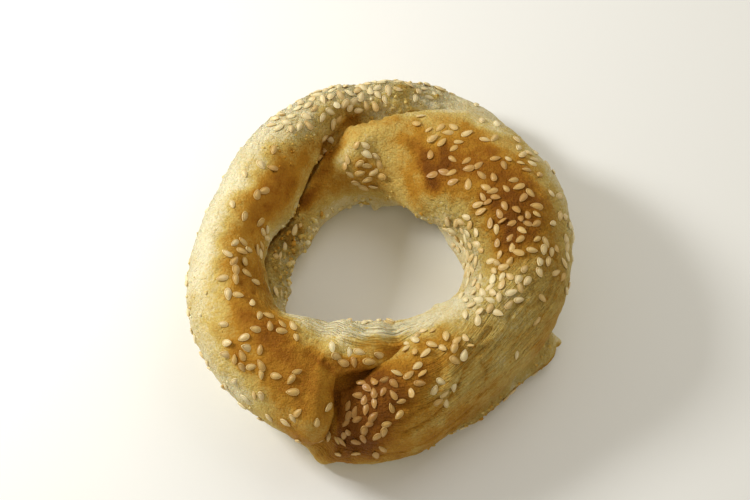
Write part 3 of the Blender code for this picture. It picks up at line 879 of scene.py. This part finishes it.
def section_angles(dough, phi):
    """Section angles at each ring angle, even in length but closer at the seams and wider below."""
    grid = np.arange(-90.0, 270.01, 1.0)
    ring, theta = np.meshgrid(phi, grid, indexing="ij")
    point, over = dough.form(ring, theta)
    length = np.linalg.norm(np.gradient(point, axis=1), axis=-1)
    length = np.where(point[..., 2] <= 0.0, BELOW_SHARE * length, length)
    weights = length * (1.0 + SEAM_GAIN * np.exp(-(over / SEAM_SPREAD) ** 2))
    weights = weights * (1.0 + STRIP_GAIN * window(ring, theta, *STRIP_PATCH))
    shifts = np.arange(-MESH_REACH, MESH_REACH + 1)
    near = np.exp(-0.5 * (shifts / MESH_BLUR) ** 2)
    weights = sum(part * np.roll(weights, shift, axis=0) for part, shift in zip(near, shifts))
    return np.array([shared_out(grid, row, SECTION_STEPS) for row in weights])


def fine_lines(phi, theta):
    """Places of the finest wrinkles, as millimetres along and across them, and how marked they are."""
    run = apart(phi, LINES_FROM)
    across = from_below(theta)
    marked = np.zeros(phi.shape)
    for amount, lean, *where in LINES:
        inside = window(phi, theta, *where)
        across = across - inside * lean * (run - apart(where[0], LINES_FROM))
        marked = np.maximum(marked, amount * inside)
    return {"run": run * RING_MM, "cross": across * TURN_MM, "marked": marked}


def make_object(name, points, faces, values, material):
    """Smooth mesh object, with one float attribute for each named value; points in millimetres
    from the ring's centre."""
    mesh = bpy.data.meshes.new(name)
    points = points.reshape(-1, 3) + np.array([*RING_CENTRE, 0.0])
    mesh.from_pydata((points * MM).tolist(), [], faces.tolist())
    for key, value in values.items():
        layer = mesh.attributes.new(key, "FLOAT", "POINT")
        layer.data.foreach_set("value", np.asarray(value, np.float32).ravel())
    mesh.materials.append(material)
    mesh.update()
    mesh.shade_smooth()
    piece = bpy.data.objects.new(name, mesh)
    bpy.context.scene.collection.objects.link(piece)
    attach(piece, BODY)
    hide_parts(NODE)
    return piece


def browning(phi, theta, point, relief):
    """How far the crust is baked, from 0, pale, to 1, dark brown, with painted shade and light in some
    patches; relief is what bumps and seams add, browning and painted shade.
    """
    bake_and_shade = BAKE_LEAST + BAKE_ON_TOP * smooth_step((point[..., 2] - BAKE_FROM) / BAKE_RISE)
    bake_and_shade = bake_and_shade + waves(point, BAKE_WAVES)
    ring = phi + waves(point, RING_DRIFT)
    turn = theta + waves(point, TURN_DRIFT)
    for strength, *where in BROWNING:
        bake_and_shade = bake_and_shade + strength * window(ring, turn, *where, PATCH_STEEP)
    return np.clip(bake_and_shade * (1.0 + waves(point, BAKE_VARIES)) + relief, 0.0, 1.0)


def plan_seeds(dough):
    """The seeds' places on the crust, their axes, their sizes along each axis, and their tones."""
    phi, theta, heading, size = scatter(dough).T
    place, normal, relief = dough.skin(phi, theta)
    draw = np.random.RandomState(SEED_DRAW)
    count = len(phi)
    loose = np.where(draw.rand(count) < SEEDS_LOOSE, LOOSE_TILT, 1.0)[:, None]
    up = unit(normal + loose * draw.normal(0.0, SEED_TILT, (count, 3)))
    side = unit(np.cross(up, OFF_UP))
    turn = heading + np.where(draw.rand(count) < 0.5, 0.0, np.pi)
    along = side * np.cos(turn)[:, None] + np.cross(up, side) * np.sin(turn)[:, None]
    stretch = draw.uniform(*SEED_STRETCH, (count, 3)) * size[:, None]
    lift = (0.5 - SEED_SUNK) * SEED_HEIGHT * size + draw.normal(0.0, SEED_LIFT, count)
    # painted shade on seeds in the recess and seams, through the relief's share
    toast_and_shade = TOAST_OF_BAKE * browning(phi, theta, place, relief) + TOAST_AND_SHADE_OF_RELIEF * relief
    toast_and_shade = np.clip(toast_and_shade + draw.normal(0.0, TOAST_SPREAD, count), 0.0, 1.0)
    return {"place": place + up * lift[:, None], "up": up, "along": along, "across": np.cross(up, along),
            "stretch": stretch, "toast_and_shade": toast_and_shade, "shade": draw.rand(count)}


def pressed(points, seeds):
    """Height to add to the crust where the seeds lie: dough raised in a rim round each of them."""
    push = np.zeros(points.shape[:-1])
    keys = ("place", "along", "across", "stretch")
    for place, along, across, stretch in zip(*(seeds[key] for key in keys)):
        away = points - place
        near = (away ** 2).sum(-1) < RIM_REACH ** 2
        local = away[near]
        share = np.hypot(local @ along / (0.5 * SEED_LENGTH * stretch[0]),
                         local @ across / (0.5 * SEED_WIDTH * stretch[1]))
        rim = np.exp(-((share - RIM_AT) / RIM_WIDTH) ** 2) - 0.5 * np.exp(-(share / PIT_WIDTH) ** 4)
        rim = RIM_HEIGHT * rim
        push[near] = np.where(np.abs(rim) > np.abs(push[near]), rim, push[near])
    return push


def make_crust(dough, seeds, material):
    """The crust, one closed mesh of rings of points, raised a little round the seeds."""
    phi = ring_angles()
    turn = section_angles(dough, phi)
    ring = np.repeat(phi[:, None], SECTION_STEPS, axis=1)
    points, normals, relief = dough.skin(ring, turn)
    bake_and_shade = browning(ring, turn, points, relief)
    points = points + normals * pressed(points, seeds)[..., None]
    points[..., 2] = np.maximum(points[..., 2], 0.0)
    i, j = np.meshgrid(np.arange(RING_STEPS), np.arange(SECTION_STEPS), indexing="ij")
    next_i = (i + 1) % RING_STEPS
    next_j = (j + 1) % SECTION_STEPS
    corners = ((i, j), (next_i, j), (next_i, next_j), (i, next_j))
    faces = np.stack([row * SECTION_STEPS + place for row, place in corners], -1).reshape(-1, 4)
    values = {"bake_and_shade": bake_and_shade, "rough": roughness(ring, turn), **fine_lines(ring, turn)}
    return make_object("crust", points, faces, values, material)


def make_grains(name, points, faces, values, material):
    """One mesh of many small shapes, each a row of points joined by the same faces, off the table."""
    count, step = points.shape[:2]
    points[..., 2] = np.maximum(points[..., 2], LEAST_HEIGHT)
    every = faces + (np.arange(count) * step)[:, None, None]
    return make_object(name, points, every.reshape(-1, 3), values, material)


def seed_shape():
    """One seed lying along X: rings of a drop's outline, domed on top; and where it is darker: its rim
    line, and its underside edge as painted shade.
    """
    angle = np.arange(SEED_SIDES) * 2.0 * np.pi / SEED_SIDES
    outline_x = 0.5 * SEED_LENGTH * np.cos(angle)
    outline_y = SEED_FULL * SEED_WIDTH * np.sin(angle) * np.abs(np.sin(0.5 * angle)) ** SEED_TAPER
    points = [(0.0, 0.0, -0.5 * SEED_HEIGHT)]
    line = [0.0]
    for share, height in SEED_RINGS:
        points += [(share * x, share * y, height * SEED_HEIGHT) for x, y in zip(outline_x, outline_y)]
        # 1 on the rim line, and on the underside ring as painted shade
        line += [float(share == SEED_LINE_AT or height < 0.0)] * SEED_SIDES
    points.append((0.0, 0.0, 0.5 * SEED_HEIGHT))
    line.append(0.0)
    return np.array(points), np.array(line), lathe_faces(SEED_SIDES, len(SEED_RINGS))


def make_seeds(seeds, material):
    """All the seeds, as one mesh."""
    shape, line, faces = seed_shape()
    axes = np.stack([seeds["along"], seeds["across"], seeds["up"]], axis=1)
    points = seeds["place"][:, None, :] + (shape * seeds["stretch"][:, None, :]) @ axes
    values = {key: np.repeat(seeds[key], len(shape)) for key in ("toast_and_shade", "shade")}
    values["line"] = np.tile(line, len(points))
    return make_grains("seeds", points, faces, values, material)


def make_crumbs(dough, material):
    """Crumbs of dough on the rims, the torn wall and strand P's edge, as one mesh."""
    draw = np.random.RandomState(CRUMB_DRAW)
    places = []
    scales = []
    for ring, turn, ring_reach, turn_reach, number, scale in CRUMBS:
        phi = ring + ring_reach * draw.uniform(-1.0, 1.0, number)
        theta = turn + turn_reach * draw.uniform(-1.0, 1.0, number)
        places.append((phi, theta))
        scales.append(np.full(number, scale))
    phi = draw.uniform(*LIP_CRUMBS, LIP_CRUMB_COUNT)
    inward = LIP_CRUMB_REACH * draw.rand(LIP_CRUMB_COUNT)
    places.append((phi, look(dough.twist, phi, 360.0) + LIP_CRUMB_TURN - inward))
    scales.append(np.ones(LIP_CRUMB_COUNT))
    phi, theta = np.concatenate(places, axis=1)
    place, _, relief = dough.skin(phi, theta)
    count = len(phi)
    bake_and_shade = CRUMB_BAKE * browning(phi, theta, place, relief) + draw.normal(*CRUMB_BROWNER, count)
    size = draw.uniform(*CRUMB_SIZE, count) * np.concatenate(scales)
    ball, faces = ball_shape(*CRUMB_POINTS)
    shift = draw.uniform(0.0, CRUMB_SHIFT, (count, 1, 3))
    uneven = 1.0 + waves(ball + shift, CRUMB_WAVES)
    flat = draw.uniform(*CRUMB_FLAT, (count, 1, 3))
    points = place[:, None, :] + ball * (0.5 * size[:, None] * uneven)[..., None] * flat
    values = {"bake_and_shade": np.repeat(np.clip(bake_and_shade, 0.0, 1.0), len(ball))}
    return make_grains("crumbs", points, faces, values, material)


def ball_shape(sides, rows):
    """A ball of radius 1 made of rows of points between two poles."""
    rise = np.pi * (np.arange(rows) + 1.0) / (rows + 1.0) - 0.5 * np.pi
    rise, turn = np.meshgrid(rise, np.arange(sides) * 2.0 * np.pi / sides, indexing="ij")
    body = np.stack([np.cos(rise) * np.cos(turn), np.cos(rise) * np.sin(turn), np.sin(rise)], -1)
    points = np.concatenate([[[0.0, 0.0, -1.0]], body.reshape(-1, 3), [[0.0, 0.0, 1.0]]])
    return points, lathe_faces(sides, rows)


def lathe_faces(sides, rows):
    """Triangles over a first point, rows of points round it, and a last point."""
    faces = []
    for side in range(sides):
        other = (side + 1) % sides
        faces.append((0, 1 + other, 1 + side))
        for row in range(rows - 1):
            near = 1 + row * sides
            faces.append((near + side, near + other, near + sides + other))
            faces.append((near + side, near + sides + other, near + sides + side))
        last = 1 + (rows - 1) * sides
        faces.append((last + side, last + other, last + sides))
    return np.array(faces)


class Nodes:
    """Short calls for building a material's node tree."""

    def __init__(self, name):
        self.material = bpy.data.materials.new(name)
        self.material.use_nodes = True
        self.tree = self.material.node_tree
        self.shader = self.tree.nodes["Principled BSDF"]

    def add(self, kind, settings=None, **inputs):
        """A node with its settings and inputs; _ stands for a space in their names."""
        node = self.tree.nodes.new(kind)
        for key, value in (settings or {}).items():
            setattr(node, key, value)
        for key, value in inputs.items():
            self.put(node.inputs[key.replace("_", " ")], value)
        return node

    def put(self, socket, value):
        """Link a socket to another one, or give it a plain value."""
        if isinstance(value, bpy.types.NodeSocket):
            self.tree.links.new(value, socket)
        else:
            socket.default_value = value

    def attribute(self, name):
        """One of the mesh's own values."""
        node = self.add("ShaderNodeAttribute", {"attribute_type": "GEOMETRY", "attribute_name": name})
        return node.outputs["Fac"]

    def noise(self, scale, detail=3.0, roughness=0.6):
        """Noise in the object's own metres."""
        place = self.add("ShaderNodeTexCoord").outputs["Object"]
        node = self.add("ShaderNodeTexNoise", Vector=place, Scale=scale, Detail=detail, Roughness=roughness)
        return node.outputs["Fac"]

    def mottle(self, scale, detail, reach):
        """Noise from -reach to reach."""
        return self.span(self.noise(scale, detail), 0.3, 0.7, -reach, reach)

    def math(self, operation, first, second=0.0, third=0.0):
        """One sum on up to three values."""
        node = self.add("ShaderNodeMath", {"operation": operation})
        for socket, value in zip(node.inputs, (first, second, third)):
            self.put(socket, value)
        return node.outputs[0]

    def ramp(self, value, stops):
        """Colour at a value, between stops of (place, colour)."""
        node = self.add("ShaderNodeValToRGB", Fac=value)
        ramp = node.color_ramp
        while len(ramp.elements) < len(stops):
            ramp.elements.new(0.5)
        for element, (place, colour) in zip(ramp.elements, stops):
            element.position = place
            element.color = (*colour, 1.0)
        return node.outputs["Color"]

    def span(self, value, low, high, to_low, to_high):
        """A value moved from one range to another, and kept in it."""
        node = self.add("ShaderNodeMapRange", Value=value)
        for key, number in (("From Min", low), ("From Max", high), ("To Min", to_low), ("To Max", to_high)):
            node.inputs[key].default_value = number
        return node.outputs["Result"]

    def bump(self, height, distance, strength=1.0, normal=None):
        """Normal of a surface raised by a height, on top of another normal."""
        node = self.add("ShaderNodeBump", Height=height, Distance=distance, Strength=strength)
        if normal is not None:
            self.put(node.inputs["Normal"], normal)
        return node.outputs["Normal"]

    def glow(self, weight, radius, scale):
        """Light that passes under the surface; radius for red, green and blue, scale in metres."""
        self.shader.inputs["Subsurface Weight"].default_value = weight
        self.shader.inputs["Subsurface Radius"].default_value = radius
        self.shader.inputs["Subsurface Scale"].default_value = scale


def crust_material():
    """Baked dough, coloured by how far it is baked and by painted shade, with pores and the finest
    wrinkles.
    """
    nodes = Nodes("baked_crust")
    run = nodes.attribute("run")
    place = nodes.add("ShaderNodeCombineXYZ", X=run, Y=nodes.attribute("cross")).outputs[0]
    stretched = nodes.add("ShaderNodeMapping", Vector=place, Scale=LINE_SCALE).outputs[0]
    lines = nodes.add("ShaderNodeTexNoise", Vector=stretched, Scale=1.0, Detail=2.0, Distortion=0.35)
    ridge = nodes.math("ABSOLUTE", nodes.math("SUBTRACT", lines.outputs["Fac"], 0.5))
    marked = nodes.attribute("marked")
    wrinkles = nodes.math("MULTIPLY", ridge, marked)
    # painted shade in the valleys between the finest wrinkles
    valley_shade = nodes.math("MULTIPLY", nodes.span(ridge, 0.0, VALLEY_WIDTH, VALLEY_SHADE_TONE, 0.0), marked)
    patchy = nodes.math("ADD", nodes.mottle(*CRUST_MOTTLE), nodes.mottle(*CRUST_SPECKLE))
    tone = nodes.math("ADD", nodes.math("ADD", nodes.attribute("bake_and_shade"), patchy), valley_shade)
    nodes.put(nodes.shader.inputs["Base Color"], nodes.ramp(tone, CRUST_RAMP))
    nodes.put(nodes.shader.inputs["Roughness"], nodes.span(tone, 0.0, *CRUST_SHEEN))
    rough = nodes.attribute("rough")
    normal = nodes.bump(nodes.math("MULTIPLY", nodes.noise(*PORES), rough), PORE_DEPTH)
    normal = nodes.bump(nodes.math("MULTIPLY", nodes.noise(*GRIT), rough), GRIT_DEPTH, 1.0, normal)
    normal = nodes.bump(wrinkles, LINE_DEPTH, 1.0, normal)
    nodes.put(nodes.shader.inputs["Normal"], normal)
    nodes.shader.inputs["Specular IOR Level"].default_value = CRUST_SPECULAR
    nodes.glow(*CRUST_GLOW)
    return nodes.material


def seed_material():
    """Sesame seed, from pale to toasted and darker in painted shade, each of its own tone, with a darker
    line inside its rim and painted shade round its underside edge.
    """
    nodes = Nodes("sesame_seed")
    varied = nodes.math("MULTIPLY_ADD", nodes.attribute("shade"), 2.0 * SEED_VARIES, -SEED_VARIES)
    tone = nodes.math("ADD", nodes.attribute("toast_and_shade"), varied)
    tone = nodes.math("ADD", tone, nodes.mottle(*SEED_MOTTLE))
    line = nodes.math("MULTIPLY", nodes.attribute("line"), SEED_LINE_AND_SHADE_TONE)
    nodes.put(nodes.shader.inputs["Base Color"], nodes.ramp(nodes.math("ADD", tone, line), SEED_RAMP))
    nodes.put(nodes.shader.inputs["Normal"], nodes.bump(nodes.noise(*SEED_GRAIN), SEED_GRAIN_DEPTH, 0.5))
    nodes.put(nodes.shader.inputs["Roughness"], nodes.span(tone, 0.0, *SEED_SHEEN))
    nodes.glow(*SEED_GLOW)
    return nodes.material


def make_floor():
    """Plain pale floor."""
    nodes = Nodes("floor")
    nodes.shader.inputs["Base Color"].default_value = FLOOR_COLOUR
    nodes.shader.inputs["Roughness"].default_value = FLOOR_ROUGHNESS
    corners = [(x * FLOOR_REACH, y * FLOOR_REACH, 0.0) for x, y in ((-1, -1), (1, -1), (1, 1), (-1, 1))]
    mesh = bpy.data.meshes.new("floor")
    mesh.from_pydata(corners, [], [(0, 1, 2, 3)])
    mesh.materials.append(nodes.material)
    floor = bpy.data.objects.new("floor", mesh)
    bpy.context.scene.collection.objects.link(floor)


def add_light(name, place, size, power, colour):
    """Square area light aimed at the ring."""
    lamp = bpy.data.lights.new(name, "AREA")
    lamp.size = size
    lamp.energy = power
    lamp.color = colour
    holder = bpy.data.objects.new(name, lamp)
    holder.location = place
    holder.rotation_euler = (Vector(LIGHT_AIM) - Vector(place)).to_track_quat("-Z", "Y").to_euler()
    bpy.context.scene.collection.objects.link(holder)


def make_stage():
    """Floor, sky and lights."""
    make_floor()
    world = bpy.data.worlds.new("studio")
    world.use_nodes = True
    sky = world.node_tree.nodes["Background"]
    sky.inputs["Color"].default_value = SKY_COLOUR
    sky.inputs["Strength"].default_value = SKY_STRENGTH
    bpy.context.scene.world = world
    for light in LIGHTS:
        add_light(*light)
    bpy.context.scene.view_settings.view_transform = "Standard"


def make_camera():
    """Camera at the photograph's viewing angle and scale."""
    data = bpy.data.cameras.new("camera")
    data.sensor_width = SENSOR_WIDTH
    data.lens = PIXELS_PER_MM / MM * CAMERA_DISTANCE / IMAGE_SIZE[0] * SENSOR_WIDTH
    data.shift_x = (0.5 * IMAGE_SIZE[0] - AIM_PIXEL[0]) / IMAGE_SIZE[0]
    data.shift_y = (AIM_PIXEL[1] - 0.5 * IMAGE_SIZE[1]) / IMAGE_SIZE[0]
    camera = bpy.data.objects.new("camera", data)
    elevation = math.radians(CAMERA_ELEVATION)
    forward = Vector((0.0, math.cos(elevation), -math.sin(elevation)))
    camera.location = Vector(CAMERA_AIM) - forward * CAMERA_DISTANCE
    camera.rotation_euler = forward.to_track_quat("-Z", "Y").to_euler()
    bpy.context.scene.collection.objects.link(camera)
    bpy.context.scene.camera = camera


make_camera()
make_stage()
bread = Dough()
grains = plan_seeds(bread)
dough_material = crust_material()
make_crust(bread, grains, dough_material)
make_seeds(grains, seed_material())
make_crumbs(bread, dough_material)
